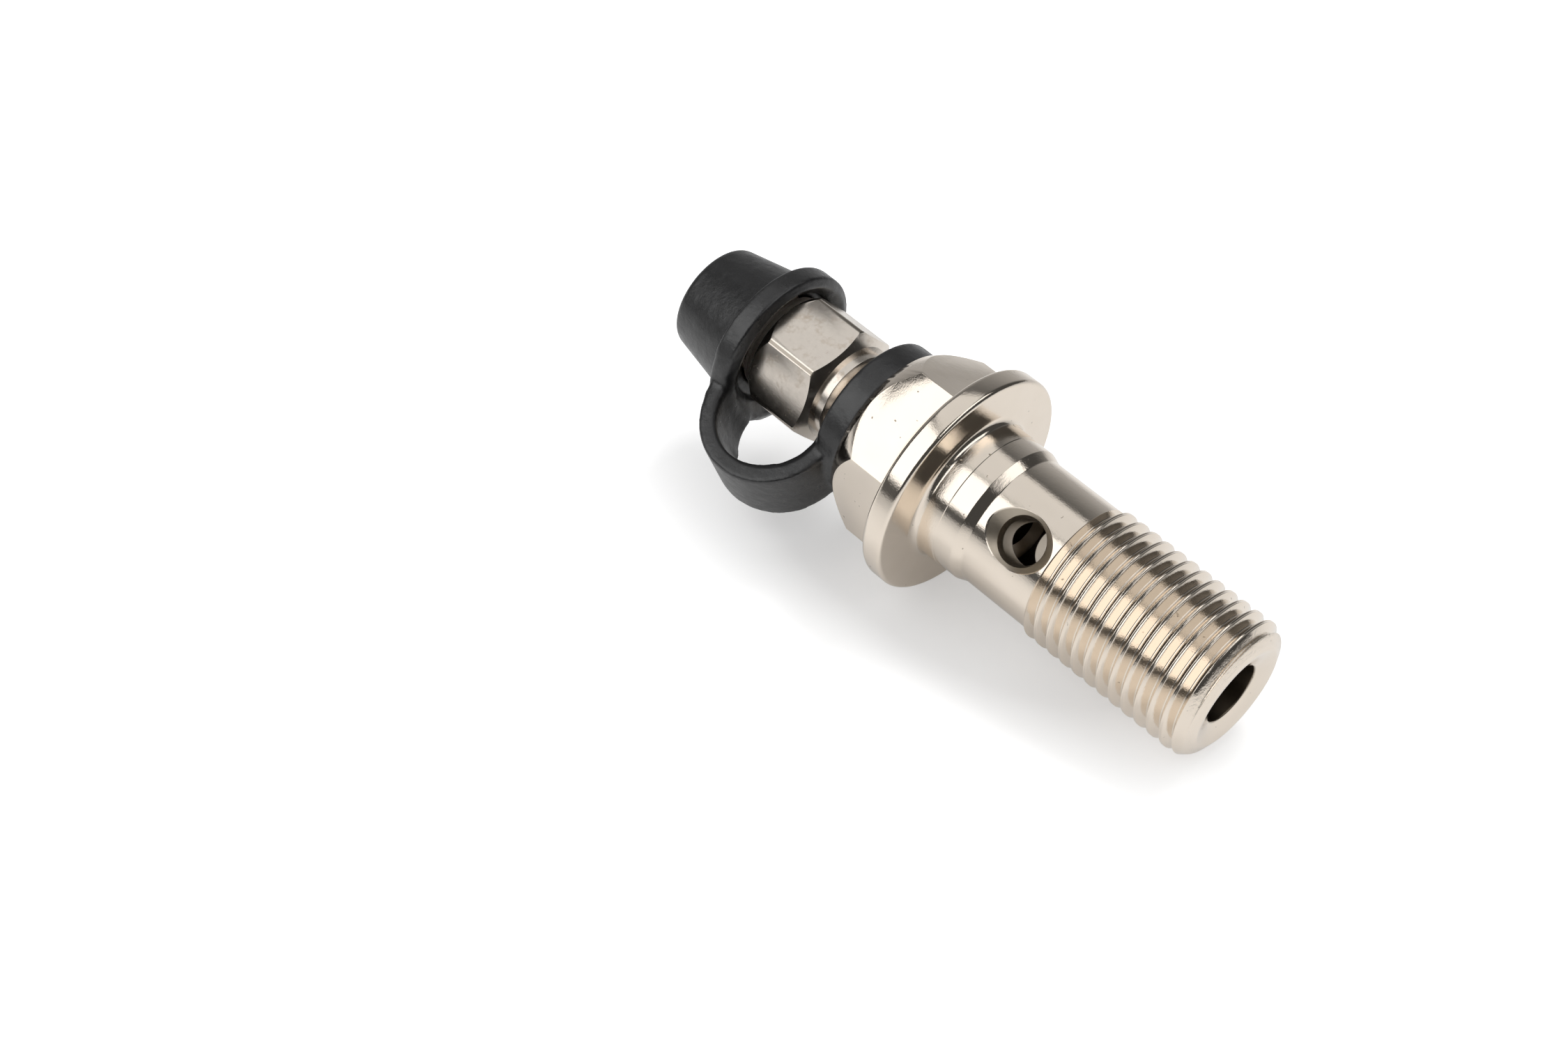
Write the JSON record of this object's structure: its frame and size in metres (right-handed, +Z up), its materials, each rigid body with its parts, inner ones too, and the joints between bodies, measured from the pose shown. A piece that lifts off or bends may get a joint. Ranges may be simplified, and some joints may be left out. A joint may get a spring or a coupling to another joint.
{
  "type": "banjo bolt with bleeder screw",
  "caption": "Flanged hexagon banjo bolt with cross-drilled waist and threaded end, a small bleeder screw in its head and a rubber dust cap held by a loop strap.",
  "frame": {"origin": "on the surface it lies on, under the middle of the whole object's bounding box", "axes": "+Z up; +X along the bolt towards its thread end, which is tilted down to the surface; the strap's loop points to -Y, the front"},
  "size_m": [0.0458, 0.0178, 0.0161],
  "materials": {
    "nickel_plate": "bright warm nickel plate over turned steel",
    "plain_steel": "dull brushed steel with faint stains",
    "cap_rubber": "matt black moulded rubber"
  },
  "bodies": {
    "banjo_bolt": {"banjo_bolt": "nickel_plate"},
    "dust_cap": {"dust_cap": "cap_rubber"},
    "bleed_screw": {"bleed_screw": "plain_steel"}
  },
  "joints": [
    {"name": "bleed_lift", "type": "slide", "parent": "banjo_bolt", "child": "dust_cap", "axis": [-0.9899, 0, 0.142], "range_m": [0, 0.001]},
    {"name": "bleed_turn", "type": "hinge", "parent": "dust_cap", "child": "bleed_screw", "pos_m": [0.00061, 0.00088, 0.00788], "axis": [-0.9899, 0, 0.142], "range_deg": [0, 360]}
  ],
  "couplings": [
    {"joint": "bleed_turn", "follows": "bleed_lift", "rad_per_m": 6283.2}
  ]
}
